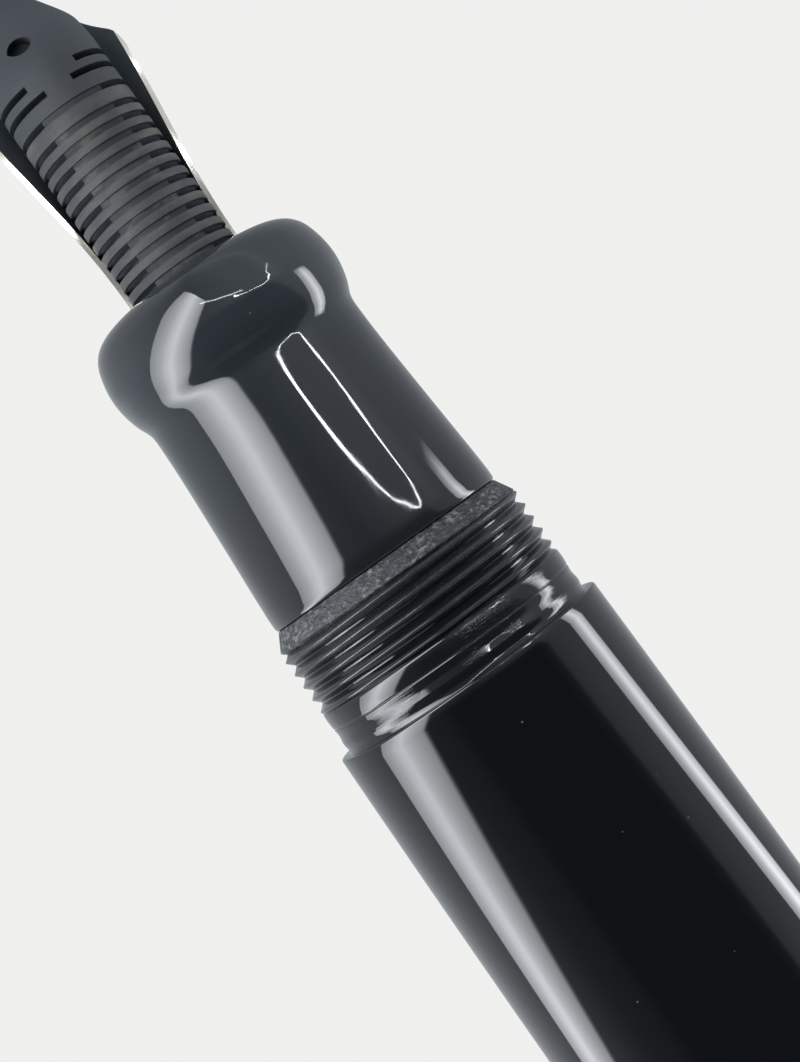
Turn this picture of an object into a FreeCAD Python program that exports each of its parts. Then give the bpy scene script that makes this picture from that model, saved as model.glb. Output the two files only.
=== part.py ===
"""Fountain pen with a turned grip section, a comb feed and a screw-piston converter.

Millimetres.  The pen stands on the Z axis with its nib up, and the origin is the middle of the
barrel's cap thread.  The feed's underside faces -Y, the nib's top faces +Y.
Threads are plain cylinders at their crest radius.
"""

import FreeCAD, Part
import math
import os
import re

import Sketcher

V = FreeCAD.Vector

# Driving sizes.  Every one of them can be set by itself.
SIZES = {
    # screw converter, from its bore outwards
    "ink_bore_radius": 3.0,
    "tube_wall": 0.7,
    "ink_chamber_length": 32.5,
    "tube_web": 1.2,
    "ink_passage_radius": 0.8,
    "piston_length": 5.0,
    "piston_lip_length": 0.9,
    "piston_lip_rise": 0.3,
    "piston_socket_depth": 3.2,
    "piston_cone": 0.4,
    "spindle_radius": 1.7,
    "spindle_flat": 1.35,
    "guide_flange": 1.0,
    "guide_plug_length": 3.0,
    "collar_wall": 0.35,
    "collar_overlap": 9.0,
    "collar_lip": 0.8,
    "knob_neck_length": 12.0,
    "knob_neck_radius": 2.9,
    "knob_ring": 1.2,
    "knob_ring_rise": 0.6,
    "knob_grip_length": 16.0,
    "knob_grip_radius": 3.6,
    "knob_end_wall": 1.4,
    "knob_end_round": 0.5,
    "knob_flutes": 20,
    "knob_flute_radius": 0.45,
    "knob_flute_depth": 0.2,
    "knob_band": 1.8,
    # nib unit
    "feed_bed_radius": 3.0,
    "nib_thickness": 0.26,
    "housing_wall": 0.4,
    "housing_flange": 0.24,
    "housing_flange_length": 1.1,
    "housing_length": 13.1,
    "housing_web": 1.5,
    "nipple_radius": 1.6,
    "nipple_length": 6.2,
    "nipple_bore_radius": 0.75,
    # feed
    "comb_step": 0.08,
    "comb_angle": 232.0,
    "nose_slot_distance": 11.83,
    "nose_slot_pitch": 0.76,
    "front_slot_distance": 9.98,
    "comb_distance": 8.89,
    "slot_pitch": 0.765,
    "comb_slots": 12,
    "slot_width": 0.35,
    "slot_depth": 0.95,
    "spine_angle": 70.0,
    "spine_step": 0.12,
    "tongue_wide": 27.0,
    "tongue_narrow": 14.0,
    "nose_distance": 18.2,
    "nose_sink": 1.35,
    "nose_height": 0.5,
    "nose_radius": 2.0,
    "nose_inset": 0.12,
    "nose_taper": 1.0,
    "nose_start": 12.05,
    "nose_turn": 12.9,
    "nose_turn_rise": 0.14,
    "nose_middle": 14.8,
    "nose_middle_rise": 1.4,
    "nose_middle_radius": 3.0,
    "feed_spigot_length": 4.0,
    "ink_channel": 0.5,
    "ink_channel_depth": 0.8,
    "ink_channel_rest": 0.25,
    "vent_distance": 13.9,
    "vent_offset": 0.45,
    "vent_length": 1.4,
    "vent_width": 1.0,
    "vent_floor": 1.0,
    # nib
    "nib_tail": 9.0,
    "throat_distance": 2.0,
    "flare_distance": 7.0,
    "flare_arch": 3.55,
    "flare_angle": 81.0,
    "flare_sink": 0.1,
    "shoulder_distance": 11.9,
    "shoulder_arch": 4.75,
    "shoulder_angle": 60.0,
    "shoulder_sink": 0.35,
    "shoulder_round": 2.2,
    "shoulder_turn": 37.0,
    "tine_distance": 16.2,
    "tine_arch": 5.4,
    "tine_sink": 1.0,
    "tine_angle": 51.5,
    "tip_distance": 22.3,
    "tip_arch": 6.0,
    "tip_sink": 2.1,
    "tip_angle": 45.0,
    "tip_half_width": 0.46,
    "breather_radius": 0.55,
    "breather_distance": 12.6,
    "slit_width": 0.08,
    "tipping_radius": 0.46,
    # grip section
    "chamber_gap": 0.3,
    "tenon_wall": 1.7,
    "tenon_length": 8.0,
    "section_shoulder": 1.0,
    "waist_drop": 0.69,
    "waist_distance": 11.33,
    "waist_round": 2.2,
    "bulge_rise": 0.94,
    "bulge_distance": 2.67,
    "bulge_round": 4.8,
    "lip_drop": 1.02,
    "lip_distance": 2.8,
    "lip_round": 1.65,
    "section_edge": 0.15,
    "ring_cord": 0.9,
    "ring_inset": 0.35,
    # barrel
    "thread_wall": 1.42,
    "cap_thread_length": 4.2,
    "mouth_chamfer": 0.65,
    "mouth_drop": 0.59,
    "neck_length": 2.15,
    "cove_width": 1.1,
    "cove_depth": 0.06,
    "cove_inset": 0.08,
    "barrel_step": 0.53,
    "barrel_edge": 0.15,
    "belly_swell": 0.3,
    "belly_distance": 30.0,
    "tail_taper": 1.8,
    "tail_distance": 54.0,
    "tail_dome": 9.0,
    "tail_round": 3.2,
    "socket_length": 9.5,
    "bore_step": 0.5,
    "end_room": 18.5,
    "drill_point": 59.0,
    # clearances
    "running_fit": 0.05,
    "thread_fit": 0.03,
    "slip_fit": 0.02,
    "end_play": 0.15,
    "seat_gap": 0.3,
}

doc = FreeCAD.newDocument("fountain_pen")
sheet = doc.addObject("Spreadsheet::Sheet", "Sizes")
for row, (alias, value) in enumerate(SIZES.items(), start=1):
    sheet.set(f"A{row}", alias)
    sheet.set(f"B{row}", str(value))
    sheet.setAlias(f"B{row}", alias)
doc.recompute()

ALIAS = re.compile(r"\b(" + "|".join(SIZES) + r")\b")


# Places and radii that several pieces share, as expressions in the driving sizes.
TUBE_R = "(ink_bore_radius + tube_wall)"
CHAMBER_R = f"({TUBE_R} + chamber_gap)"
TENON_R = f"({CHAMBER_R} + tenon_wall)"
SOCKET_R = f"({TENON_R} + running_fit)"
SECTION_R = f"({TENON_R} + section_shoulder)"
THREAD_R = f"({SOCKET_R} + thread_wall)"
MOUTH_R = f"({THREAD_R} - mouth_drop)"
BARREL_R = f"({THREAD_R} + barrel_step)"
BELLY_R = f"({BARREL_R} + belly_swell)"
BORE_R = f"({SOCKET_R} - bore_step)"
WAIST_R = f"({SECTION_R} - waist_drop)"
BULGE_R = f"({WAIST_R} + bulge_rise)"
LIP_R = f"({BULGE_R} - lip_drop)"
NIB_IN_R = "(feed_bed_radius + slip_fit)"
NIB_OUT_R = f"({NIB_IN_R} + nib_thickness)"
HOUSING_BORE_R = f"({NIB_OUT_R} + thread_fit)"
HOUSING_R = f"({HOUSING_BORE_R} + housing_wall)"
FLANGE_R = f"({HOUSING_R} + housing_flange)"
COMB_R = "(feed_bed_radius + comb_step)"
NIPPLE_SOCKET_R = "(nipple_radius + thread_fit)"
COLLAR_BORE_R = f"({TUBE_R} + slip_fit)"
RING_R = "(knob_neck_radius + knob_ring_rise)"

SHOULDER = "(-cap_thread_length / 2 - neck_length)"
SEAM = "(cap_thread_length / 2 + mouth_chamfer)"
WAIST = f"({SEAM} + waist_distance)"
BULGE = f"({WAIST} + bulge_distance)"
MOUTH = f"({BULGE} + lip_distance)"
HOUSING_END = f"({MOUTH} - housing_length)"
WEB_FRONT = f"({HOUSING_END} + housing_web)"
NIPPLE_END = f"({HOUSING_END} - nipple_length)"
TENON_END = f"({SEAM} - tenon_length)"
TUBE_TOP = f"({HOUSING_END} - seat_gap)"
CHAMBER_TOP = f"({NIPPLE_END} - seat_gap - tube_web)"
TUBE_END = f"({CHAMBER_TOP} - ink_chamber_length)"
GUIDE_END = f"({TUBE_END} - guide_flange)"
COLLAR_END = f"({GUIDE_END} - knob_neck_length)"
KNOB_END = f"({COLLAR_END} - end_play - knob_grip_length)"
PISTON_REAR = f"({TUBE_END} + guide_plug_length + seat_gap)"
SPINDLE_END = f"({KNOB_END} + knob_end_wall + seat_gap)"
NOSE = f"({MOUTH} + nose_distance)"
TIP = f"({MOUTH} + tip_distance)"

# The front of the nib seen from above: a rounded shoulder, then a hollow curve to the tip.
SHOULDER_WIDE = "((shoulder_arch + nib_thickness) * sin(shoulder_angle))"
SHOULDER_Z = f"({MOUTH} + shoulder_distance)"
TURN_X = f"({SHOULDER_WIDE} - shoulder_round * (1 - cos(shoulder_turn)))"
TURN_Z = f"({SHOULDER_Z} + shoulder_round * sin(shoulder_turn))"
TINE_RUN = f"({TIP} - {TURN_Z})"
TINE_FALL = f"({TURN_X} - tip_half_width)"
TINE_LEAN = f"({TINE_RUN} * sin(shoulder_turn) - {TINE_FALL} * cos(shoulder_turn))"
HOLLOW_R = f"(({TINE_RUN}^2 + {TINE_FALL}^2) / (2 * {TINE_LEAN}))"
HOLLOW_X = f"({TURN_X} + {HOLLOW_R} * cos(shoulder_turn))"
HOLLOW_Z = f"({TURN_Z} + {HOLLOW_R} * sin(shoulder_turn))"


def bound(text):
    """An expression with each driving size turned into a reference to its cell."""
    return ALIAS.sub(r"Sizes.\1", str(text))


def value_of(text):
    """The expression's value now, in millimetres or degrees."""
    found = sheet.evalExpression(bound(text))
    return float(getattr(found, "Value", found))


def bind(thing, prop, text):
    thing.setExpression(prop, bound(text))


def new_body(name):
    made = doc.addObject("PartDesign::Body", name)
    made.Label = name
    return made


def origin_part(owner, role):
    return next(part for part in owner.Origin.OriginFeatures if part.Role == role)


def new_sketch(owner, name, plane, height):
    """A sketch on one of the body's own origin planes, raised along the plane's normal."""
    made = owner.newObject("Sketcher::SketchObject", name)
    made.AttachmentSupport = [(origin_part(owner, plane), "")]
    made.MapMode = "FlatFace"
    bind(made, ".AttachmentOffset.Base.z", height)
    doc.recompute()
    return made


def held(sketch, kind, places, text):
    """Adds a dimension to a sketch and ties it to an expression."""
    index = sketch.addConstraint(Sketcher.Constraint(kind, *places, value_of(text)))
    bind(sketch, f"Constraints[{index}]", text)


def arc_between(start, end, radius, turn):
    """The shorter arc from start to end: turn is 1 for anticlockwise, -1 for clockwise."""
    chord = end - start
    rise = math.sqrt(max(radius**2 - chord.Length**2 / 4, 0.0))
    left = V(-chord.y, chord.x, 0).normalize()
    centre = start + chord * 0.5 + left * (rise * turn)
    first, last = (start, end) if turn > 0 else (end, start)
    angles = [math.atan2(place.y - centre.y, place.x - centre.x) for place in (first, last)]
    if angles[1] < angles[0]:
        angles[1] += 2 * math.pi
    return Part.ArcOfCircle(Part.Circle(centre, V(0, 0, 1), radius), *angles)


def outline(owner, name, plane, corners, height="0"):
    """A closed, fully dimensioned sketch.  A corner is (x, y), reached by a line, or
    (x, y, radius, turn), reached by an arc, which may add the height of its centre.
    Every number is an expression."""
    sketch = new_sketch(owner, name, plane, height)
    places = [V(value_of(corner[0]), value_of(corner[1]), 0) for corner in corners]
    ends = []
    for index, corner in enumerate(corners):
        start, end = places[index - 1], places[index]
        if len(corner) == 2:
            side = sketch.addGeometry(Part.LineSegment(start, end), False)
            ends.append((side, 1, 2))
        else:
            arc = arc_between(start, end, value_of(corner[2]), corner[3])
            side = sketch.addGeometry(arc, False)
            ends.append((side, 1, 2) if corner[3] > 0 else (side, 2, 1))
    for index, corner in enumerate(corners):
        side, _, last = ends[index]
        after, first, _ = ends[(index + 1) % len(ends)]
        sketch.addConstraint(Sketcher.Constraint("Coincident", side, last, after, first))
        held(sketch, "DistanceX", (-1, 1, side, last), corner[0])
        held(sketch, "DistanceY", (-1, 1, side, last), corner[1])
        if len(corner) == 4:
            held(sketch, "Radius", (side,), corner[2])
        elif len(corner) == 5:
            held(sketch, "DistanceY", (-1, 1, side, 3), corner[4])
    doc.recompute()
    return sketch


def circle(owner, name, plane, x, y, radius, height="0"):
    sketch = new_sketch(owner, name, plane, height)
    ring = Part.Circle(V(value_of(x), value_of(y), 0), V(0, 0, 1), value_of(radius))
    side = sketch.addGeometry(ring, False)
    held(sketch, "DistanceX", (-1, 1, side, 3), x)
    held(sketch, "DistanceY", (-1, 1, side, 3), y)
    held(sketch, "Radius", (side,), radius)
    doc.recompute()
    return sketch


def turned(owner, name, profile, angle=None, cut=False):
    """Turns a sketch about its vertical axis, all round or evenly to both sides."""
    kind = "PartDesign::Groove" if cut else "PartDesign::Revolution"
    made = owner.newObject(kind, name)
    made.Profile = profile
    made.ReferenceAxis = (profile, ["V_Axis"])
    if angle is None:
        made.Angle = 360
    else:
        bind(made, "Angle", angle)
        made.Midplane = True
    doc.recompute()
    return made


def pocket(owner, name, sketch, length=None, midplane=True, reverse=False):
    """Cuts a sketch through everything or to a length, evenly to both sides of its plane,
    below it, or above it in reverse."""
    made = owner.newObject("PartDesign::Pocket", name)
    made.Profile = sketch
    made.Midplane = midplane
    made.Reversed = reverse
    if length is None:
        made.Type = "ThroughAll"
    else:
        made.Type = "Length"
        bind(made, "Length", length)
    doc.recompute()
    return made


def mirrored(owner, feature):
    """Repeats a feature on the other side of the pen."""
    made = owner.newObject("PartDesign::Mirrored", feature.Name + "_mirrored")
    made.Originals = [feature]
    made.MirrorPlane = (origin_part(owner, "YZ_Plane"), [""])
    owner.Tip = made
    doc.recompute()
    return made


def ring_edges(feature, radius, height):
    """Names of the feature's circular edges about the axis with that radius at that height."""
    wanted = value_of(radius), value_of(height)
    found = []
    for number, edge in enumerate(feature.Shape.Edges, start=1):
        curve = None if edge.Degenerated else edge.Curve
        if not isinstance(curve, Part.Circle) or math.hypot(curve.Center.x, curve.Center.y) > 1e-6:
            continue
        if abs(curve.Radius - wanted[0]) < 1e-4 and abs(curve.Center.z - wanted[1]) < 1e-4:
            found.append(f"Edge{number}")
    return found


def rounded(owner, name, size, *places):
    """A fillet on the rings at the given (radius, height) places."""
    base = owner.Tip
    made = owner.newObject("PartDesign::Fillet", name)
    made.Base = (base, [edge for place in places for edge in ring_edges(base, *place)])
    bind(made, "Radius", size)
    doc.recompute()
    return made


# ---------------------------------------------------------------- barrel


def make_barrel():
    """Turned barrel: mouth bevel, cap thread, neck with its cove, swelling body, domed tail."""
    barrel = new_body("barrel")
    edge = f"({SHOULDER} - barrel_edge)"
    belly = f"({SHOULDER} - belly_distance)"
    belly_run = "(belly_distance - barrel_edge)"
    tail = f"({belly} - tail_distance)"
    tail_r = f"({BELLY_R} - tail_taper)"
    corner_x = f"({tail_r} - tail_round)"
    corner_r = "(tail_dome - tail_round)"
    corner_z = f"sqrt({corner_r}^2 - {corner_x}^2)"
    dome_centre = f"({tail} + {corner_z})"
    cove_foot = f"({SHOULDER} + cove_inset)"
    cove_top = f"({cove_foot} + cove_width)"
    bore_end = f"({KNOB_END} - end_room)"
    socket_end = f"({SEAM} - socket_length)"
    corners = [
        (SOCKET_R, SEAM),
        (MOUTH_R, SEAM),
        (THREAD_R, f"{SEAM} - mouth_chamfer"),
        (THREAD_R, cove_top),
        (THREAD_R, cove_foot, "(cove_width^2 / 4 + cove_depth^2) / (2 * cove_depth)", 1),
        (THREAD_R, SHOULDER),
        (f"{BARREL_R} - barrel_edge", SHOULDER),
        (BARREL_R, edge, "barrel_edge", -1),
        (BELLY_R, belly, f"({belly_run}^2 + belly_swell^2) / (2 * belly_swell)", -1),
        (tail_r, tail, "(tail_distance^2 + tail_taper^2) / (2 * tail_taper)", -1),
        (
            f"tail_dome * {corner_x} / {corner_r}",
            f"{dome_centre} - tail_dome * {corner_z} / {corner_r}",
            "tail_round",
            -1,
        ),
        ("0", f"{dome_centre} - tail_dome", "tail_dome", -1),
        ("0", f"{bore_end} - {BORE_R} / tan(drill_point)"),
        (BORE_R, bore_end),
        (BORE_R, socket_end),
        (SOCKET_R, socket_end),
    ]
    turned(barrel, "barrel_turning", outline(barrel, "barrel_profile", "XZ_Plane", corners))
    return barrel


# ---------------------------------------------------------------- grip section


def make_grip_section():
    """Turned grip: threaded tenon, tapering grip, waist, bulge and rounded lip."""
    section = new_body("grip_section")
    groove_top = f"({SEAM} - ring_inset)"
    groove_foot = f"({groove_top} - ring_cord - 2 * running_fit)"
    flange_seat = f"({MOUTH} - housing_flange_length - slip_fit)"
    corners = [
        (f"{FLANGE_R} + running_fit", MOUTH),
        (LIP_R, MOUTH),
        (BULGE_R, BULGE),
        (WAIST_R, WAIST),
        (SECTION_R, SEAM),
        (TENON_R, SEAM),
        (TENON_R, groove_top),
        (f"{TENON_R} - ring_cord", groove_top),
        (f"{TENON_R} - ring_cord", groove_foot),
        (TENON_R, groove_foot),
        (TENON_R, TENON_END),
        (CHAMBER_R, TENON_END),
        (CHAMBER_R, HOUSING_END),
        (f"{HOUSING_R} + thread_fit", HOUSING_END),
        (f"{HOUSING_R} + thread_fit", flange_seat),
        (f"{FLANGE_R} + running_fit", flange_seat),
    ]
    turned(section, "section_turning", outline(section, "section_profile", "XZ_Plane", corners))
    front = "sqrt(lip_drop^2 + lip_distance^2)"
    rear = "sqrt(bulge_rise^2 + bulge_distance^2)"
    front_slope = "atan(lip_drop / lip_distance)"
    rear_slope = "atan(bulge_rise / bulge_distance)"
    grip_slope = "atan(waist_drop / waist_distance)"
    bulge = f"min(bulge_round; 0.6 * min({front}; {rear}) / tan(({rear_slope} + {front_slope}) / 2))"
    waist = f"min(waist_round; 0.35 * {rear} / tan(({rear_slope} + {grip_slope}) / 2))"
    lip = f"min(lip_round; 0.39 * {front} / tan((90 deg - {front_slope}) / 2))"
    rounded(section, "bulge_rounding", bulge, (BULGE_R, BULGE))
    rounded(section, "waist_rounding", waist, (WAIST_R, WAIST))
    rounded(section, "lip_rounding", lip, (LIP_R, MOUTH))
    rounded(section, "seam_edge", "section_edge", (SECTION_R, SEAM))
    return section


def make_section_o_ring():
    """Rubber ring in the tenon's groove, just under the section's shoulder."""
    ring = new_body("section_o_ring")
    centre_r = f"({TENON_R} + slip_fit - ring_cord / 2)"
    centre_z = f"({SEAM} - ring_inset - running_fit - ring_cord / 2)"
    turned(ring, "ring", circle(ring, "cord", "XZ_Plane", centre_r, centre_z, "ring_cord / 2"))
    return ring


# ---------------------------------------------------------------- nib unit


def make_nib_housing():
    """Threaded sleeve that grips nib and feed, with the piercing nipple behind."""
    housing = new_body("nib_housing")
    corners = [
        (HOUSING_BORE_R, MOUTH),
        (FLANGE_R, MOUTH),
        (FLANGE_R, f"{MOUTH} - housing_flange_length"),
        (HOUSING_R, f"{MOUTH} - housing_flange_length"),
        (HOUSING_R, HOUSING_END),
        ("nipple_radius", HOUSING_END),
        ("nipple_radius", f"{NIPPLE_END} + nipple_radius / 2"),
        ("(nipple_radius + nipple_bore_radius) / 2", NIPPLE_END),
        ("nipple_bore_radius", NIPPLE_END),
        ("nipple_bore_radius", WEB_FRONT),
        (HOUSING_BORE_R, WEB_FRONT),
    ]
    turned(housing, "housing_turning", outline(housing, "housing_profile", "XZ_Plane", corners))
    return housing


# The nib's cross-sections from the section's mouth to the tip: distance from the mouth, inner
# radius of the arch, how far its crown has sunk, and the angle from crown to edge in degrees.
NIB_STATIONS = {
    "mouth": ("0", NIB_IN_R, "0", "90"),
    "throat": ("throat_distance", NIB_IN_R, "0", "90"),
    "flare": ("flare_distance", "flare_arch", "flare_sink", "flare_angle"),
    "shoulder": ("shoulder_distance", "shoulder_arch", "shoulder_sink", "shoulder_angle"),
    "tine": ("tine_distance", "tine_arch", "tine_sink", "tine_angle"),
    "tip": ("tip_distance", "tip_arch", "tip_sink", "tip_angle"),
}


def crescent_loft(owner, kind, name, stations):
    """Lofts crescents about the pen's upright middle plane.  A station is its distance from
    the mouth, the height of its centre, its two radii, the half angle and the side it faces."""
    sections = []
    for number, (distance, centre, inner, outer, angle, side) in enumerate(stations):
        low = f"{centre} + {side} * {inner} * cos({angle})"
        high = f"{centre} + {side} * {outer} * cos({angle})"
        corners = [
            (f"-{inner} * sin({angle})", low),
            (f"{inner} * sin({angle})", low, inner, -side, centre),
            (f"{outer} * sin({angle})", high),
            (f"-{outer} * sin({angle})", high, outer, side, centre),
        ]
        height = f"{MOUTH} + {distance}"
        sections.append(outline(owner, f"{name}_{number}", "XY_Plane", corners, height))
    made = owner.newObject(kind, name)
    made.Profile = sections[0]
    made.Sections = sections[1:]
    doc.recompute()
    return made


def nib_loft(owner, kind, name, inset, depth):
    """Lofts along the nib's stations, from inset below its sheet to depth above its inside."""
    stations = [
        (
            distance,
            f"({NIB_IN_R} - {sink} - {arch})",
            f"({arch} - {inset})",
            f"({arch} + {depth})",
            angle,
            1,
        )
        for distance, arch, sink, angle in NIB_STATIONS.values()
    ]
    return crescent_loft(owner, kind, name, stations)


def cut_front(owner, name, inset, end, end_corners):
    """Cuts both sides of the nib's front outline, or a line inset from it, down to end."""
    beyond = f"({end} + nib_thickness)"
    clear = f"({SHOULDER_WIDE} + nib_thickness)"
    round_r = f"(shoulder_round - {inset})"
    turn_x = f"{SHOULDER_WIDE} - shoulder_round + {round_r} * cos(shoulder_turn)"
    turn_z = f"{SHOULDER_Z} + {round_r} * sin(shoulder_turn)"
    corners = [
        (clear, SHOULDER_Z),
        (f"{SHOULDER_WIDE} - {inset}", SHOULDER_Z),
        (turn_x, turn_z, round_r, 1),
        *end_corners,
        ("0", beyond),
        (clear, beyond),
    ]
    sketch = outline(owner, name + "_outline", "XZ_Plane", corners)
    mirrored(owner, pocket(owner, name, sketch))


def make_nib():
    """Sheet nib: half tube in the housing, flaring to its shoulders, slit from hole to tip."""
    nib = new_body("nib")
    tail = f"({MOUTH} - nib_tail)"
    tail_corners = [
        (NIB_IN_R, tail),
        (NIB_OUT_R, tail),
        (NIB_OUT_R, MOUTH),
        (NIB_IN_R, MOUTH),
    ]
    turned(nib, "nib_tail", outline(nib, "tail_profile", "YZ_Plane", tail_corners), "180")
    nib_loft(nib, "PartDesign::AdditiveLoft", "sheet", "0", "nib_thickness")
    cut_front(nib, "tines", "0", TIP, [("tip_half_width", TIP, HOLLOW_R, -1), ("0", TIP)])
    hole = circle(nib, "hole", "XZ_Plane", "0", f"{MOUTH} + breather_distance", "breather_radius")
    pocket(nib, "breather_hole", hole)
    slit_corners = [
        ("-slit_width / 2", f"{MOUTH} + breather_distance"),
        ("slit_width / 2", f"{MOUTH} + breather_distance"),
        ("slit_width / 2", f"{TIP} + nib_thickness"),
        ("-slit_width / 2", f"{TIP} + nib_thickness"),
    ]
    pocket(nib, "slit", outline(nib, "slit_outline", "XZ_Plane", slit_corners))
    return nib


def make_nib_tipping():
    """The two halves of the hard pellet on the end of the tines."""
    tipping = new_body("nib_tipping")
    crown = f"({NIB_IN_R} - tip_sink + nib_thickness / 2)"
    corners = [
        ("0", TIP),
        ("tipping_radius", TIP),
        ("0", f"{TIP} + tipping_radius", "tipping_radius", 1),
    ]
    profile = outline(tipping, "pellet_profile", "XZ_Plane", corners, f"-{crown}")
    turned(tipping, "pellet", profile)
    cut = [
        ("-slit_width / 2", f"{TIP} - tipping_radius"),
        ("slit_width / 2", f"{TIP} - tipping_radius"),
        ("slit_width / 2", f"{TIP} + 2 * tipping_radius"),
        ("-slit_width / 2", f"{TIP} + 2 * tipping_radius"),
    ]
    pocket(tipping, "pellet_slit", outline(tipping, "pellet_cut", "XZ_Plane", cut))
    return tipping


def cut_slots(feed):
    """The comb: slots across the feed's underside, with a spine that keeps them shallow along
    its middle, and two slots behind the nose at its sides."""
    inner = f"({COMB_R} - slot_depth)"
    outer = f"({COMB_R} + slot_depth)"

    def slot_corners(distance, side):
        low = f"({MOUTH} + {distance} - slot_width / 2)"
        high = f"({low} + slot_width)"
        ring = [(inner, low), (outer, low), (outer, high), (inner, high)]
        return ring if side > 0 else [(f"-{x}", z) for x, z in ring]

    for name, distance in (("front_slot", "front_slot_distance"), ("comb_slot", "comb_distance")):
        sketch = outline(feed, name + "_profile", "YZ_Plane", slot_corners(distance, -1))
        slot = turned(feed, name, sketch, "comb_angle", cut=True)
    comb = feed.newObject("PartDesign::LinearPattern", "comb")
    comb.Originals = [slot]
    comb.Direction = (origin_part(feed, "Z_Axis"), [""])
    comb.Reversed = True
    bind(comb, "Length", "slot_pitch * (comb_slots - 1)")
    bind(comb, "Occurrences", "comb_slots")
    feed.Tip = comb
    doc.recompute()
    spine_front = f"({MOUTH} + front_slot_distance + slot_width)"
    spine = [
        (f"-({inner} - spine_step)", MOUTH),
        (f"-({inner} - spine_step)", spine_front),
        (f"-({COMB_R} - spine_step)", spine_front),
        (f"-({COMB_R} - spine_step)", MOUTH),
    ]
    turned(feed, "spine", outline(feed, "spine_profile", "YZ_Plane", spine), "spine_angle")
    places = (
        ("nose_slot", "nose_slot_distance", "tongue_wide"),
        ("tongue_slot", "nose_slot_distance - nose_slot_pitch", "tongue_narrow"),
    )
    for name, distance, tongue in places:
        sketch = outline(feed, name + "_profile", "XZ_Plane", slot_corners(distance, 1))
        slot = turned(feed, name, sketch, cut=True)
        slot.Type = "TwoAngles"
        bind(slot, "Angle", f"90 - {tongue}")
        bind(slot, "Angle2", "comb_angle / 2 - 90")
        slot.Reversed = True
        doc.recompute()
        mirrored(feed, slot)


def make_feed():
    """Comb feed: spigot and seat in the housing, bed under the nib, ink channel, fins, nose."""
    feed = new_body("feed")
    tail = f"({WEB_FRONT} + slip_fit)"
    spigot_end = f"({HOUSING_END} - feed_spigot_length)"
    core = [
        ("0", spigot_end),
        ("nipple_bore_radius - slip_fit", spigot_end),
        ("nipple_bore_radius - slip_fit", tail),
        ("feed_bed_radius", tail),
        ("feed_bed_radius", MOUTH),
        (COMB_R, MOUTH),
        (COMB_R, NOSE),
        ("0", NOSE),
    ]
    turned(feed, "core", outline(feed, "core_profile", "XZ_Plane", core))
    seat = [
        ("-feed_bed_radius / 2", tail),
        ("-feed_bed_radius / 2", f"{MOUTH} - seat_gap"),
        (f"-({HOUSING_BORE_R} - slip_fit)", f"{MOUTH} - seat_gap"),
        (f"-({HOUSING_BORE_R} - slip_fit)", tail),
    ]
    turned(feed, "seat", outline(feed, "seat_profile", "YZ_Plane", seat), "180")
    nib_loft(feed, "PartDesign::SubtractiveLoft", "bed", "slip_fit", "feed_bed_radius")

    crown_end = f"({NIB_IN_R} - nose_sink)"
    under = (
        ("nose_start", "0", f"({COMB_R} + slip_fit)"),
        ("nose_turn", "nose_turn_rise", COMB_R),
        ("nose_middle", "nose_middle_rise", "nose_middle_radius"),
        ("nose_distance", f"({crown_end} - nose_height + nose_radius)", "nose_radius"),
    )
    stations = [
        (distance, centre, radius, f"({radius} + 2 * {COMB_R})", "90", -1)
        for distance, centre, radius in under
    ]
    crescent_loft(feed, "PartDesign::SubtractiveLoft", "underside", stations)
    hollow = f"({HOLLOW_R} + nose_inset)"
    side_z = f"({NOSE} - nose_taper)"
    side_x = f"({HOLLOW_X} - sqrt({hollow}^2 - ({HOLLOW_Z} - {side_z})^2))"
    end_r = f"({side_x}^2 + nose_taper^2) / (2 * nose_taper)"
    end = [(side_x, side_z, hollow, -1), ("0", NOSE, end_r, 1)]
    cut_front(feed, "nose", "nose_inset", NOSE, end)
    cut_slots(feed)

    floor = "(feed_bed_radius - ink_channel_depth)"
    channel = [
        ("ink_channel_rest", f"{spigot_end} - seat_gap"),
        ("ink_channel_rest", f"{tail} + ink_channel"),
        (floor, f"{tail} + 3 * ink_channel"),
        (floor, MOUTH),
        (f"{crown_end} - nose_height / 2", NOSE),
        (f"{crown_end} - nose_height / 2", f"{NOSE} + seat_gap"),
        (COMB_R, f"{NOSE} + seat_gap"),
        (COMB_R, f"{spigot_end} - seat_gap"),
    ]
    sketch = outline(feed, "channel_profile", "YZ_Plane", channel)
    pocket(feed, "ink_channel", sketch, "ink_channel")

    vent_r = "(vent_length^2 + vent_width^2) / (4 * vent_width)"
    vent = [
        ("vent_length / 2 - vent_offset", f"{MOUTH} + vent_distance", vent_r, 1),
        ("-vent_length / 2 - vent_offset", f"{MOUTH} + vent_distance", vent_r, 1),
    ]
    sketch = outline(feed, "vent_outline", "XZ_Plane", vent, "vent_floor")
    pocket(feed, "vent", sketch, "feed_bed_radius", midplane=False, reverse=True)
    return feed


# ---------------------------------------------------------------- converter


def make_converter_tube():
    """Clear ink tube: socket on the nipple, web with a passage, chamber open behind."""
    tube = new_body("converter_tube")
    socket_end = f"({NIPPLE_END} - seat_gap)"
    corners = [
        ("ink_bore_radius", TUBE_END),
        (TUBE_R, TUBE_END),
        (TUBE_R, TUBE_TOP),
        (NIPPLE_SOCKET_R, TUBE_TOP),
        (NIPPLE_SOCKET_R, socket_end),
        ("ink_passage_radius", socket_end),
        ("ink_passage_radius", CHAMBER_TOP),
        ("ink_bore_radius", CHAMBER_TOP),
    ]
    turned(tube, "tube_turning", outline(tube, "tube_profile", "XZ_Plane", corners))
    return tube


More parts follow.
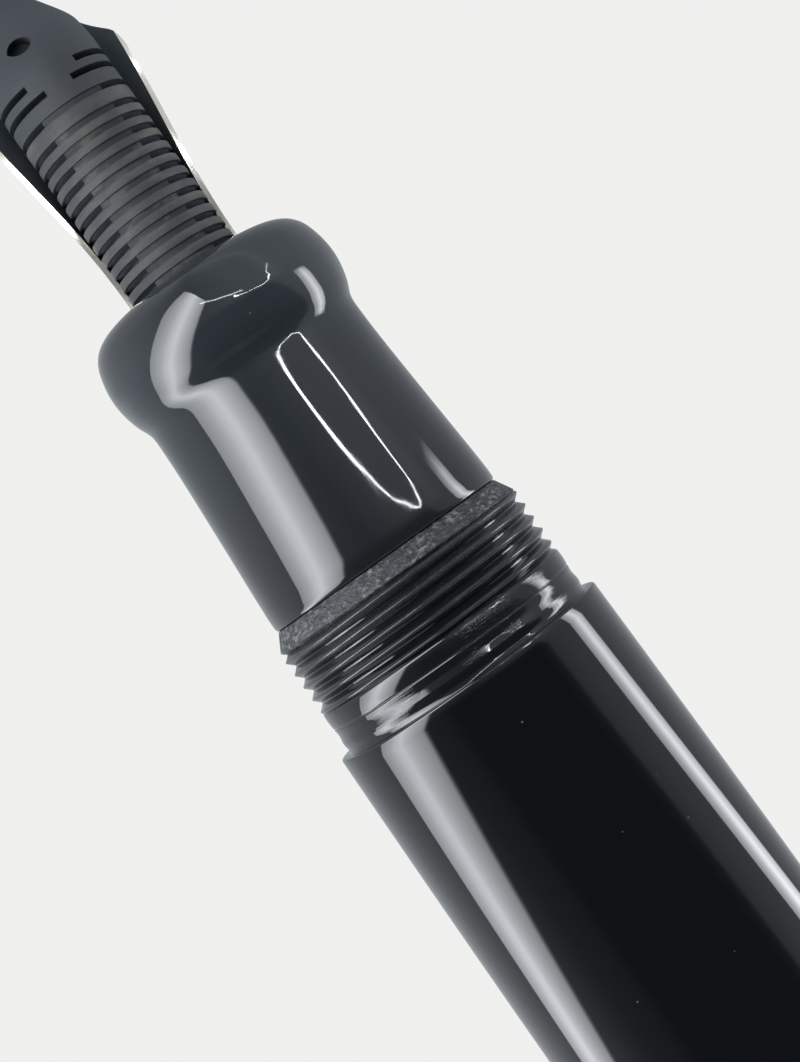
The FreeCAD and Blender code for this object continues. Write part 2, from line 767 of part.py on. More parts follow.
def make_converter_collar():
    """Metal sleeve over the tube's end, with a lip that keeps the knob in."""
    collar = new_body("converter_collar")
    top = f"({TUBE_END} + collar_overlap)"
    lip = f"({COLLAR_END} + collar_lip)"
    corners = [
        ("knob_neck_radius + running_fit", COLLAR_END),
        (f"{COLLAR_BORE_R} + collar_wall", COLLAR_END),
        (f"{COLLAR_BORE_R} + collar_wall", top),
        (COLLAR_BORE_R, top),
        (COLLAR_BORE_R, lip),
        ("knob_neck_radius + running_fit", lip),
    ]
    turned(collar, "collar_turning", outline(collar, "collar_profile", "XZ_Plane", corners))
    return collar


def flatted(radius, flat):
    """Corners of a round bar's section with two flats, which keep it from turning."""
    across = f"sqrt(({radius})^2 - ({flat})^2)"
    return [
        (across, f"-({flat})"),
        (across, f"{flat}", radius, 1),
        (f"-{across}", f"{flat}"),
        (f"-{across}", f"-({flat})", radius, 1),
    ]


def make_converter_guide():
    """Plug in the tube's end, whose flatted hole keeps the spindle from turning."""
    guide = new_body("converter_guide")
    plug_top = f"({TUBE_END} + guide_plug_length)"
    corners = [
        ("0", GUIDE_END),
        (TUBE_R, GUIDE_END),
        (TUBE_R, TUBE_END),
        ("ink_bore_radius - slip_fit", TUBE_END),
        ("ink_bore_radius - slip_fit", plug_top),
        ("0", plug_top),
    ]
    turned(guide, "guide_turning", outline(guide, "guide_profile", "XZ_Plane", corners))
    hole = flatted("spindle_radius + running_fit", "spindle_flat + running_fit")
    pocket(guide, "spindle_hole", outline(guide, "hole_outline", "XY_Plane", hole))
    return guide


def make_converter_knob():
    """Turning knob: bored neck held in the collar, and a fluted grip behind it."""
    knob = new_body("converter_knob")
    ring_foot = f"({COLLAR_END} + collar_lip + end_play)"
    grip_top = f"({COLLAR_END} - end_play)"
    corners = [
        ("spindle_radius + running_fit", f"{GUIDE_END} - end_play"),
        ("knob_neck_radius", f"{GUIDE_END} - end_play"),
        ("knob_neck_radius", f"{ring_foot} + knob_ring"),
        ("knob_neck_radius + knob_ring_rise", f"{ring_foot} + knob_ring"),
        ("knob_neck_radius + knob_ring_rise", ring_foot),
        ("knob_neck_radius", ring_foot),
        ("knob_neck_radius", grip_top),
        ("knob_grip_radius", grip_top),
        ("knob_grip_radius", KNOB_END),
        ("0", KNOB_END),
        ("0", f"{KNOB_END} + knob_end_wall"),
        ("spindle_radius + running_fit", f"{KNOB_END} + knob_end_wall"),
    ]
    turned(knob, "knob_turning", outline(knob, "knob_profile", "XZ_Plane", corners))
    rounded(knob, "knob_edges", "knob_end_round", ("knob_grip_radius", KNOB_END))
    flute_x = "knob_grip_radius - knob_flute_depth + knob_flute_radius"
    flute_z = f"{grip_top} - knob_band"
    sketch = circle(knob, "flute_outline", "XY_Plane", flute_x, "0", "knob_flute_radius", flute_z)
    flute = pocket(knob, "flute", sketch, "knob_grip_length - 2 * knob_band", midplane=False)
    flutes = knob.newObject("PartDesign::PolarPattern", "flutes")
    flutes.Originals = [flute]
    flutes.Axis = (origin_part(knob, "Z_Axis"), [""])
    flutes.Angle = 360
    bind(flutes, "Occurrences", "knob_flutes")
    knob.Tip = flutes
    doc.recompute()
    return knob


def make_converter_spindle():
    """Flatted screw from inside the knob, through the guide, into the piston."""
    spindle = new_body("converter_spindle")
    bar = flatted("spindle_radius", "spindle_flat")
    sketch = outline(spindle, "bar_outline", "XY_Plane", bar, SPINDLE_END)
    rod = spindle.newObject("PartDesign::Pad", "bar")
    rod.Profile = sketch
    bind(rod, "Length", f"{PISTON_REAR} + piston_socket_depth - {SPINDLE_END}")
    doc.recompute()
    return spindle


def make_converter_piston():
    """Piston on the spindle's end, with a sealing lip at the front and at the rear."""
    piston = new_body("converter_piston")
    lip_r = "(ink_bore_radius - running_fit)"
    waist_r = f"({lip_r} - piston_lip_rise)"
    front = f"({PISTON_REAR} + piston_length)"
    socket_end = f"({PISTON_REAR} + piston_socket_depth + slip_fit)"
    rear_lip = f"({PISTON_REAR} + piston_lip_length)"
    front_lip = f"({front} - piston_lip_length)"
    corners = [
        ("spindle_radius + thread_fit", PISTON_REAR),
        (lip_r, PISTON_REAR),
        (lip_r, rear_lip),
        (waist_r, f"{rear_lip} + piston_lip_rise"),
        (waist_r, f"{front_lip} - piston_lip_rise"),
        (lip_r, front_lip),
        (lip_r, front),
        ("0", f"{front} + piston_cone"),
        ("0", socket_end),
        ("spindle_radius + thread_fit", socket_end),
    ]
    turned(piston, "piston_turning", outline(piston, "piston_profile", "XZ_Plane", corners))
    return piston


MAKERS = (
    make_barrel,
    make_grip_section,
    make_section_o_ring,
    make_nib_housing,
    make_feed,
    make_nib,
    make_nib_tipping,
    make_converter_tube,
    make_converter_collar,
    make_converter_guide,
    make_converter_knob,
    make_converter_spindle,
    make_converter_piston,
)
pieces = [make() for make in MAKERS]

for item in doc.Objects:
    if "Invalid" in item.State or "Error" in item.State:
        raise RuntimeError(f"{item.Label} did not rebuild")
for piece in pieces:
    if piece.Shape.isNull() or not piece.Shape.isValid():
        raise RuntimeError(f"{piece.Label} has no valid shape")

os.makedirs("parts", exist_ok=True)
for piece in pieces:
    piece.Shape.exportStep(f"parts/{piece.Label}.step")
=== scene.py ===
"""Looks for a fountain pen without its cap: turned resin, cut threads, comb feed, nib and
converter."""
import math

import bmesh
import bpy
from mathutils import Matrix, Vector
from mathutils import noise as wobble


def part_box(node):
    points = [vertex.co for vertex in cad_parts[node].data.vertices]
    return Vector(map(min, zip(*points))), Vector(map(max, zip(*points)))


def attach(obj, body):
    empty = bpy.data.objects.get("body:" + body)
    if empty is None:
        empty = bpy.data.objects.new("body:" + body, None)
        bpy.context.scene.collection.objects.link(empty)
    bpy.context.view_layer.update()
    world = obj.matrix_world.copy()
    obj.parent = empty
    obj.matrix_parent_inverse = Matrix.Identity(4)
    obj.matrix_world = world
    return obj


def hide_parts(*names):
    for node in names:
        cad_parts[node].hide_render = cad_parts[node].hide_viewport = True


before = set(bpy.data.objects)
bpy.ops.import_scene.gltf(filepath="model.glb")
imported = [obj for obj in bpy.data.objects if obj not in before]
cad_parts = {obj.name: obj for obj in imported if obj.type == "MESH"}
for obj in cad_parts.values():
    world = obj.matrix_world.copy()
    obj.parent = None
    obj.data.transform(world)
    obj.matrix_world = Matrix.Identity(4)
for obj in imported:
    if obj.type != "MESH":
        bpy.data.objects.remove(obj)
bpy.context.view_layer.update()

MM = 0.001

# Steps in a turn of the turned pieces and of the threads, and in a sweep of the comb.
TURN_STEPS = 240
THREAD_STEPS = 180
COMB_STEPS = 72

# The longest piece of a rounded corner, in millimetres.
ARC_PIECE = 0.06

# Heights along the pen's axis, in millimetres.
GRIP_LENGTH = 16.8
NECK_LENGTH = 7.0
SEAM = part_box("grip_section")[1][2] / MM - GRIP_LENGTH
SHOULDER = SEAM - NECK_LENGTH
BARREL_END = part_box("barrel")[0][2] / MM
BELLY = SHOULDER - 30
TAIL = SHOULDER - 84.0
BORE_FLOOR = -84.5
BORE_CONE = -81.4
SOCKET_FLOOR = -6.75
TENON_END = SEAM - 8.0
RING_GROOVE = (SEAM - 0.35, SEAM - 1.35)
REAR_LEDGE = 6.45
FRONT_LEDGE = SEAM + 15.7
MOUTH = SEAM + GRIP_LENGTH
COMB_TOP = MOUTH + 9.95

# Radii about the axis, in millimetres.
BELLY_RADIUS = 8.0
THREAD_CREST = 7.17
THREAD_ROOT = 6.84
SOCKET = 5.75
TENON = 5.70
TENON_ROOT = 5.25
GROOVE_DEPTH = 0.9
BORE = 5.25
LEDGE = 4.0
GRIP_BORE = 3.74
COMB_RADIUS = 3.08
# Below this radius the comb is painted darker: painted shade on its spine and slot walls.
FILM_SHADE_RADIUS = 3.0
# Below these radii the side slots' floors are painted pale, as painted light.
PAINTED_LIGHT_RADII = (2.86, 2.90)

# The two threads, and the shape of a tooth in shares of its depth.
CAP_PITCH = 0.75
TENON_PITCH = 1.0
TOOTH_FOOT = 0.3
TOOTH_FLANK = 0.55
TOOTH_EASE = 0.06

# The barrel's arcs before and behind its belly: how long each is, and how much it thins.
FRONT_ARC = (30.0, 0.3)
TAIL_ARC = (54.0, 1.8)

# The bevel before the cap thread: its foot at the seam, then how far it rises over what run.
BEVEL_FOOT = 6.56
BEVEL_RISE = 0.54
BEVEL_RUN = 0.95

# The feed's comb: heights from the grip's mouth, sizes in millimetres, angles in degrees.
FIRST_SLOT = 8.89
SLOT_PITCH = 0.765
SLOT_COUNT = 12
HALF_SLOT = 0.17
COMB_END = 9.98
SPINE_OVERLAP = 0.1
SPINE_END = 10.15
COMB_CORE = 2.3
FIN_COVER = 0.006
FIN_ROUNDING = 0.04
FIN_SWEEP = 231.0
SPINE_INSET = 0.115
SPINE_SWEEP = 69.6


# ------------------------------------------------------------------ turning


def draw_profile(mesh, corners, closed, grain):
    """Lay a turning profile in the XZ plane from (radius, height, rounding) corners in mm.  No
    edge of it is left much longer than the grain."""
    points = [mesh.verts.new((c[0] * MM, 0.0, c[1] * MM)) for c in corners]
    ends = zip(points, points[1:] + points[:1]) if closed else zip(points, points[1:])
    for a, b in ends:
        mesh.edges.new((a, b))
    for point, corner in zip(points, corners):
        if len(corner) < 3 or len(point.link_edges) < 2:
            continue
        arms = [edge.other_vert(point).co - point.co for edge in point.link_edges]
        turn = math.pi - arms[0].angle(arms[1])
        bmesh.ops.bevel(
            mesh,
            geom=[point],
            offset=corner[2] * MM * math.tan(turn / 2),
            offset_type="OFFSET",
            segments=max(4, int(corner[2] * turn / ARC_PIECE)),
            profile=0.5,
            affect="VERTICES",
            material=-1,
        )
    for edge in list(mesh.edges):
        cuts = int(edge.calc_length() / (grain * MM))
        if cuts:
            bmesh.ops.subdivide_edges(mesh, edges=[edge], cuts=cuts)


def eased_run(radii, first, step, cuts=3):
    """Evenly spaced radii drawn out into a smooth run of (radius, height) points, whose
    curvature has no jumps for the gloss to show."""
    run = []
    for number in range(len(radii) - 3):
        a, b, c, d = radii[number : number + 4]
        for cut in range(cuts):
            t = cut / cuts
            near = 3 * t**3 - 6 * t**2 + 4
            far = 1 + 3 * t + 3 * t**2 - 3 * t**3
            radius = (1 - t) ** 3 * a + near * b + far * c + t**3 * d
            run.append((radius / 6, first + (number + 1 + t) * step))
    return run


def finished(name, mesh, material, body, sharp=35.0):
    """Close the bmesh into a smooth-shaded piece that rides on its body."""
    bmesh.ops.remove_doubles(mesh, verts=mesh.verts, dist=1e-7)
    bmesh.ops.recalc_face_normals(mesh, faces=mesh.faces)
    for face in mesh.faces:
        face.smooth = True
    data = bpy.data.meshes.new(name)
    mesh.to_mesh(data)
    mesh.free()
    data.set_sharp_from_angle(angle=math.radians(sharp))
    data.materials.append(material)
    piece = bpy.data.objects.new(name, data)
    bpy.context.collection.objects.link(piece)
    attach(piece, body)
    return piece


def turned(name, corners, material, body, closed=True, grain=0.5):
    """Spin a profile round the pen's axis."""
    mesh = bmesh.new()
    draw_profile(mesh, corners, closed, grain)
    bmesh.ops.spin(
        mesh,
        geom=mesh.verts[:] + mesh.edges[:],
        cent=(0, 0, 0),
        axis=(0, 0, 1),
        dvec=(0, 0, 0),
        angle=math.tau,
        steps=TURN_STEPS,
        use_merge=True,
        use_duplicate=False,
    )
    return finished(name, mesh, material, body)


def cut_thread(name, root, crest, pitch, low, high, material, body, limit=None):
    """A screw ridge from low to high: a rounded V tooth spun along a helix, which fades out
    over a third of a turn at each end and wavers a little, as a hand-cut thread does."""
    mesh = bmesh.new()
    depth = crest - root
    foot = root - TOOTH_FOOT * depth
    flank = root + TOOTH_FLANK * depth
    brow = crest - TOOTH_EASE * depth
    tooth = [(foot, -0.50), (root, -0.46), (flank, -0.21), (brow, -0.06), (crest, 0.0)]
    tooth += [(brow, 0.06), (flank, 0.21), (root, 0.46), (foot, 0.50)]
    points = [mesh.verts.new((r * MM, 0.0, (low + z * pitch) * MM)) for r, z in tooth]
    start = mesh.faces.new(points)
    turns = (high - low) / pitch
    count = int(THREAD_STEPS * turns)
    bmesh.ops.spin(
        mesh,
        geom=[start],
        cent=(0, 0, 0),
        axis=(0, 0, 1),
        dvec=(0, 0, (high - low) * MM / count),
        angle=math.tau * turns,
        steps=count,
        use_merge=False,
        use_duplicate=False,
    )
    fade = THREAD_STEPS / 3
    for number, vert in enumerate(mesh.verts):
        step = number // len(tooth)
        radius = vert.co.xy.length / MM
        keep = min(1.0, step / fade, (count - step) / fade)
        waver = wobble.noise(vert.co / MM * 0.9) * 0.05 + wobble.noise(vert.co / MM * 3.1) * 0.02
        wanted = foot + (radius - foot) * keep * (1.0 + waver * depth / max(0.1, radius - foot))
        if limit:
            wanted = min(wanted, limit(vert.co.z / MM))
        vert.co.xy *= max(wanted, foot - 0.05) / radius
    finished(name, mesh, material, body, sharp=50.0)


# ---------------------------------------------------------------- materials


def new_material(name):
    """A material with its node tree and its surface shader."""
    material = bpy.data.materials.new(name)
    material.use_nodes = True
    tree = material.node_tree
    return material, tree, tree.nodes["Principled BSDF"]


def object_place(tree, scale):
    """Object coordinates, scaled in cycles per millimetre along each axis."""
    place = tree.nodes.new("ShaderNodeTexCoord")
    sizing = tree.nodes.new("ShaderNodeMapping")
    sizing.inputs["Scale"].default_value = [s / MM for s in scale]
    tree.links.new(place.outputs["Object"], sizing.inputs["Vector"])
    return sizing.outputs["Vector"]


def noise(tree, scale, detail=3.0, roughness=0.5):
    """Fractal noise, scaled in cycles per millimetre along each axis."""
    vector = object_place(tree, scale)
    grain = tree.nodes.new("ShaderNodeTexNoise")
    grain.inputs["Scale"].default_value = 1.0
    grain.inputs["Detail"].default_value = detail
    grain.inputs["Roughness"].default_value = roughness
    tree.links.new(vector, grain.inputs["Vector"])
    return grain.outputs["Fac"]


def ramp(tree, value, stops):
    """A colour ramp with (place, colour) stops."""
    band = tree.nodes.new("ShaderNodeValToRGB")
    elements = band.color_ramp.elements
    while len(elements) < len(stops):
        elements.new(0.5)
    for element, (place, colour) in zip(elements, stops):
        element.position = place
        element.color = (*colour, 1.0)
    tree.links.new(value, band.inputs["Fac"])
    return band.outputs["Color"]


def grey(level):
    return (level, level, level)


BLACK = grey(0.0)
WHITE = grey(1.0)
RISING = [(0.0, BLACK), (1.0, WHITE)]
FALLING = [(0.0, WHITE), (1.0, BLACK)]
RESIN_IOR = 1.54


def bump(tree, shader, height, distance, strength=1.0, under=None):
    """Relief of a height, in millimetres, laid over the relief under it."""
    relief = tree.nodes.new("ShaderNodeBump")
    relief.inputs["Distance"].default_value = distance * MM
    relief.inputs["Strength"].default_value = strength
    tree.links.new(height, relief.inputs["Height"])
    if under is not None:
        tree.links.new(under, relief.inputs["Normal"])
    tree.links.new(relief.outputs["Normal"], shader.inputs["Normal"])
    return relief.outputs["Normal"]


def height_share(tree, low, high):
    """How far up the pen a point lies, from 0 at low to 1 at high, in millimetres."""
    place = tree.nodes.new("ShaderNodeTexCoord")
    split = tree.nodes.new("ShaderNodeSeparateXYZ")
    tree.links.new(place.outputs["Object"], split.inputs["Vector"])
    share = tree.nodes.new("ShaderNodeMapRange")
    share.inputs["From Min"].default_value = low * MM
    share.inputs["From Max"].default_value = high * MM
    tree.links.new(split.outputs["Z"], share.inputs["Value"])
    return share.outputs["Result"]


def blended(tree, factor, first, second):
    """Mixes two colours, or two greys, by a factor."""
    mix = tree.nodes.new("ShaderNodeMix")
    mix.data_type = "RGBA"
    tree.links.new(factor, mix.inputs["Factor"])
    for socket, value in ((mix.inputs["A"], first), (mix.inputs["B"], second)):
        if isinstance(value, bpy.types.NodeSocket):
            tree.links.new(value, socket)
        else:
            socket.default_value = (*value, 1.0)
    return mix.outputs["Result"]


def torn_resin(tree, shader, zone, colour, gloss, relief):
    """Lay the dull, torn ring that the tool leaves over a polished resin, where zone is 1."""
    torn = noise(tree, (2.6, 2.6, 5.0), 4.0, 0.62)
    grit = noise(tree, (7.0, 7.0, 7.0), 3.0, 0.6)
    raw_tones = [
        (0.38, (0.003, 0.004, 0.005)),
        (0.47, (0.020, 0.023, 0.026)),
        (0.54, (0.080, 0.085, 0.090)),
        (0.63, (0.24, 0.25, 0.26)),
    ]
    worn_tones = [
        (0.36, (0.008, 0.009, 0.011)),
        (0.54, (0.036, 0.040, 0.045)),
        (0.66, (0.11, 0.115, 0.12)),
    ]
    raw = ramp(tree, torn, raw_tones)
    worn = ramp(tree, torn, worn_tones)
    patch = noise(tree, (0.7, 0.7, 1.4), 2.0, 0.6)
    patch = ramp(tree, patch, [(0.40, BLACK), (0.60, WHITE)])
    raw = blended(tree, patch, worn, raw)
    rough = tree.nodes.new("ShaderNodeMath")
    rough.operation = "MULTIPLY"
    tree.links.new(zone, rough.inputs[0])
    tree.links.new(blended(tree, torn, BLACK, grit), rough.inputs[1])
    bump(tree, shader, rough.outputs["Value"], 0.26, under=relief)
    colour = blended(tree, zone, colour, raw)
    return colour, blended(tree, zone, gloss, grey(0.55))


def polished_resin(name, low, high, tones, cut_zone=None):
    """Hand-polished black resin: mirror gloss over a faint turning swell, with sparse dust and
    a tone that varies along the pen, which on the grip is painted light and shade.  The neck
    keeps fine scratches, and the cut zone is left dull and torn by the tool."""
    material, tree, shader = new_material(name)
    shader.inputs["IOR"].default_value = RESIN_IOR
    swell = noise(tree, (0.10, 0.10, 0.16), 1.0)
    scuff = noise(tree, (3.0, 3.0, 0.5), 4.0, 0.7)
    specks = tree.nodes.new("ShaderNodeTexVoronoi")
    specks.inputs["Scale"].default_value = 1.0
    tree.links.new(object_place(tree, (0.55, 0.55, 0.55)), specks.inputs["Vector"])
    dust = ramp(tree, specks.outputs["Distance"], [(0.0, WHITE), (0.036, BLACK)])
    # Tone by height; along the grip its steps are painted light and shade, lighter on the bulge
    # and darker just in front of the seam.
    tone_and_painted_light = ramp(tree, height_share(tree, low, high), tones)
    colour = blended(tree, dust, tone_and_painted_light, (0.30, 0.30, 0.29))
    gloss = ramp(tree, scuff, [(0.35, grey(0.03)), (0.75, grey(0.06))])
    relief = bump(tree, shader, swell, 0.008)
    if cut_zone:
        lines = noise(tree, (0.45, 0.45, 8.0), 4.0, 0.7)
        marks = noise(tree, (0.30, 0.30, 0.6), 1.0)
        marks = ramp(tree, marks, [(0.50, BLACK), (0.60, WHITE)])
        neck = height_share(tree, SHOULDER, SEAM - 4.4)
        neck = ramp(tree, neck, [(0.0, BLACK), (0.06, WHITE), (0.85, WHITE), (1.0, BLACK)])
        marks = blended(tree, neck, BLACK, marks)
        scratches = blended(tree, marks, BLACK, lines)
        relief = bump(tree, shader, scratches, 0.02, under=relief)
        zone = ramp(tree, height_share(tree, *cut_zone), RISING)
        colour, gloss = torn_resin(tree, shader, zone, colour, gloss, relief)
    tree.links.new(colour, shader.inputs["Base Color"])
    tree.links.new(gloss, shader.inputs["Roughness"])
    return material


BARREL_TONE = (0.0044, 0.0069, 0.0087)
BARREL_RESIN = polished_resin(
    "polished_black_resin",
    BARREL_END,
    SEAM,
    [(0.0, BARREL_TONE), (0.92, BARREL_TONE), (0.93, (0.011, 0.0122, 0.0138))],
    cut_zone=(SEAM - 1.25, SEAM - 0.95),
)
# The grip's tones by height are partly its own tone and partly painted light and shade: darkest
# just in front of the seam, lightest over the bulge.
SECTION_RESIN = polished_resin(
    "section_black_resin",
    SEAM,
    SEAM + 17.0,
    [
        (0.0, (0.0215, 0.0245, 0.0280)),
        (0.06, (0.0160, 0.0190, 0.0230)),
        (0.2, (0.0185, 0.0222, 0.0275)),
        (0.43, (0.0245, 0.0305, 0.0370)),
        (0.6, (0.0285, 0.0350, 0.0410)),
        (0.78, (0.0460, 0.0560, 0.0680)),
        (0.92, (0.0380, 0.0450, 0.0530)),
    ],
)


def cut_resin(name):
    """Resin as the thread tool leaves it: torn and dull at the mouth, smoother further back,
    streaked along the cut."""
    material, tree, shader = new_material(name)
    shader.inputs["IOR"].default_value = RESIN_IOR
    torn = noise(tree, (5.0, 5.0, 9.0), 5.0, 0.65)
    streak = noise(tree, (0.8, 0.8, 15.0), 3.0, 0.5)
    front = height_share(tree, SEAM - 4.0, SEAM - 0.8)
    tones = [
        (0.3, (0.010, 0.011, 0.012)),
        (0.62, (0.028, 0.031, 0.034)),
        (0.8, (0.11, 0.115, 0.12)),
    ]
    colour = blended(tree, front, (0.012, 0.013, 0.0145), ramp(tree, torn, tones))
    tree.links.new(colour, shader.inputs["Base Color"])
    smooth = ramp(tree, streak, [(0.3, grey(0.05)), (0.7, grey(0.11))])
    dull = ramp(tree, streak, [(0.3, grey(0.18)), (0.7, grey(0.42))])
    tree.links.new(blended(tree, front, smooth, dull), shader.inputs["Roughness"])
    grooves = blended(tree, front, grey(0.5), streak)
    pits = blended(tree, front, grey(0.5), torn)
    relief = bump(tree, shader, grooves, 0.03, 0.6)
    bump(tree, shader, pits, 0.03, 0.6, under=relief)
    return material


CUT_RESIN = cut_resin("thread_cut_resin")


def axis_distance(tree, near, far):
    """How far a point lies from the pen's axis, from 0 at near to 1 at far, in millimetres."""
    level = tree.nodes.new("ShaderNodeVectorMath")
    level.operation = "LENGTH"
    tree.links.new(object_place(tree, (1.0, 1.0, 0.0)), level.inputs[0])
    share = tree.nodes.new("ShaderNodeMapRange")
    share.inputs["From Min"].default_value = near
    share.inputs["From Max"].default_value = far
    tree.links.new(level.outputs["Value"], share.inputs["Value"])
    return share.outputs["Result"]


def feed_plastic(name):
    """Ink-wetted comb plastic: satin fins with a wavy ink coat and painted shade between them,
    lighter painted glints on that coat, painted light on the sunk floors of the side slots,
    and a plain grey nose."""
    material, tree, shader = new_material(name)
    shader.inputs["Specular IOR Level"].default_value = 0.32
    wave = noise(tree, (0.55, 0.55, 1.5), 3.0, 0.55)
    fine = noise(tree, (5.0, 5.0, 7.0), 4.0, 0.6)
    fin_tones = [
        (0.34, (0.062, 0.068, 0.076)),
        (0.50, (0.086, 0.089, 0.090)),
        (0.64, (0.120, 0.118, 0.112)),
    ]
    # Painted shade on the spine and slot walls, over a wavy ink coat, with lighter painted glints.
    film_shade_glint_tones = [
        (0.36, (0.022, 0.026, 0.031)),
        (0.54, (0.034, 0.038, 0.042)),
        (0.64, (0.105, 0.106, 0.104)),
    ]
    fin = ramp(tree, wave, fin_tones)
    film_and_shade = ramp(tree, wave, film_shade_glint_tones)
    nose = ramp(tree, fine, [(0.3, (0.056, 0.064, 0.075)), (0.7, (0.062, 0.071, 0.083))])
    land = ramp(tree, axis_distance(tree, FILM_SHADE_RADIUS, FILM_SHADE_RADIUS + 0.05), RISING)
    # Painted light: the sunk floors of the side slots are painted pale blue-grey, where little
    # light reaches.
    painted_slot_light = ramp(tree, axis_distance(tree, *PAINTED_LIGHT_RADII), RISING)
    comb = ramp(tree, height_share(tree, COMB_TOP, COMB_TOP + 0.3), FALLING)
    ribbed = blended(tree, land, film_and_shade, fin)
    ribbed = blended(tree, painted_slot_light, (0.210, 0.240, 0.280), ribbed)
    tree.links.new(blended(tree, comb, nose, ribbed), shader.inputs["Base Color"])
    gloss = ramp(tree, fine, [(0.3, grey(0.62)), (0.7, grey(0.78))])
    tree.links.new(gloss, shader.inputs["Roughness"])
    relief = bump(tree, shader, wave, 0.03)
    bump(tree, shader, fine, 0.006, under=relief)
    return material


# How far towards the axis the nib's skin faces, in millimetres, before it counts as its inside.
HOLLOW_SIDE = -1.2


def plated_nib(name):
    """Bright pale plate, drawn and polished, with fine wipe marks along the nib.  Its hollow
    side, which faces the axis, is left dull dark grey and not metal."""
    material, tree, shader = new_material(name)
    wipe = noise(tree, (9.0, 9.0, 0.6), 3.0, 0.5)
    grey_mottle = noise(tree, (0.8, 0.8, 0.4), 3.0, 0.6)
    place = tree.nodes.new("ShaderNodeTexCoord")
    facing = tree.nodes.new("ShaderNodeVectorMath")
    facing.operation = "DOT_PRODUCT"
    tree.links.new(place.outputs["Normal"], facing.inputs[0])
    tree.links.new(object_place(tree, (1.0, 1.0, 0.0)), facing.inputs[1])
    hollow = tree.nodes.new("ShaderNodeMath")
    hollow.operation = "LESS_THAN"
    hollow.inputs[1].default_value = HOLLOW_SIDE
    tree.links.new(facing.outputs["Value"], hollow.inputs[0])
    axis_side = hollow.outputs["Value"]
    bright = ramp(tree, wipe, [(0.3, (0.82, 0.77, 0.66)), (0.7, (0.90, 0.86, 0.77))])
    # The side facing the axis: a dull dark grey, not metal.
    dull_grey = ramp(tree, grey_mottle, [(0.3, (0.205, 0.240, 0.270)), (0.7, (0.270, 0.310, 0.340))])
    tree.links.new(blended(tree, axis_side, bright, dull_grey), shader.inputs["Base Color"])
    tree.links.new(blended(tree, axis_side, WHITE, BLACK), shader.inputs["Metallic"])
    polish = ramp(tree, wipe, [(0.3, grey(0.10)), (0.7, grey(0.20))])
    tree.links.new(blended(tree, axis_side, polish, grey(0.45)), shader.inputs["Roughness"])
    return material


def plain(name, colour, rough, metallic=0.0, spread=0.12, transmission=0.0, ior=1.5):
    """A moulded, rubber or metal finish with a fine mottled gloss."""
    material, tree, shader = new_material(name)
    shader.inputs["Metallic"].default_value = metallic
    shader.inputs["IOR"].default_value = ior
    shader.inputs["Transmission Weight"].default_value = transmission
    mottle = noise(tree, (4.0, 4.0, 4.0), 4.0, 0.6)
    low = tuple(c * (1 - spread) for c in colour)
    tree.links.new(ramp(tree, mottle, [(0.3, low), (0.7, colour)]), shader.inputs["Base Color"])
    gloss = ramp(tree, mottle, [(0.3, grey(rough * 0.85)), (0.7, grey(rough * 1.15))])
    tree.links.new(gloss, shader.inputs["Roughness"])
    return material


FEED_PLASTIC = feed_plastic("wet_comb_painted_shade_and_light")
NIB_PLATE = plated_nib("nib_gold_plate")
TIPPING = plain("tipping_metal", (0.74, 0.74, 0.73), 0.12, metallic=1.0)
RUBBER = plain("seal_rubber", (0.022, 0.022, 0.022), 0.55)
MOULDED = plain("moulded_black", (0.025, 0.026, 0.028), 0.32)
CLEAR = plain("clear_tube", (0.96, 0.97, 0.97), 0.04, transmission=1.0, spread=0.01, ior=1.49)
COLLAR = plain("bright_collar", (0.80, 0.80, 0.80), 0.09, metallic=1.0, spread=0.05)
SPINDLE = plain("moulded_white", (0.72, 0.73, 0.72), 0.35, spread=0.05)
SEAL = plain("piston_seal", (0.42, 0.44, 0.45), 0.40, spread=0.08)


# ------------------------------------------------------------ turned pieces


def barrel_swell(height):
    """Outer radius of the barrel behind its shoulder: two arcs that meet at the belly."""
    run, fall = FRONT_ARC if height > BELLY else TAIL_ARC
    arc = (run * run + fall * fall) / (2 * fall)
    away = BELLY - height
    return BELLY_RADIUS - (arc - math.sqrt(arc * arc - away * away))


outside = [(barrel_swell(SHOULDER - z), SHOULDER - z) for z in [0.6] + list(range(2, 83, 2))]

# Mouth, bevel and root of the cap thread.
barrel_front = [
    (SOCKET, SEAM),
    (6.58, SEAM, 0.04),
    (7.12, SEAM - 0.95, 0.05),
    (THREAD_ROOT, SEAM - 1.18, 0.08),
    (THREAD_ROOT, SEAM - 4.35, 0.15),
]
# Two shallow rings with a groove between them, a cove, and the step up to the body.
barrel_neck = [
    (7.15, SEAM - 4.65, 0.18),
    (7.17, SEAM - 5.1, 2.5),
    (7.14, SEAM - 5.48, 0.08),
    (7.09, SEAM - 5.54, 0.03),
    (7.13, SEAM - 5.60, 0.05),
    (7.09, SEAM - 5.95, 0.9),
    (7.16, SEAM - 6.36, 0.10),
    (7.16, SEAM - 6.50, 0.10),
    (7.11, SEAM - 6.75, 0.35),
    (7.16, SHOULDER, 0.03),
    (7.70, SHOULDER, 0.12),
]
barrel_tail = [(barrel_swell(TAIL), TAIL, 3.0), (2.2, BARREL_END + 0.25, 3.0), (0.0, BARREL_END)]
barrel_bore = [(0.0, BORE_FLOOR), (BORE, BORE_CONE), (BORE, SOCKET_FLOOR), (SOCKET, SOCKET_FLOOR)]

barrel = turned(
    "barrel_turned",
    barrel_front + barrel_neck + outside + barrel_tail + barrel_bore,
    BARREL_RESIN,
    "barrel",
    closed=False,
    grain=0.8,
)
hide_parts("barrel")

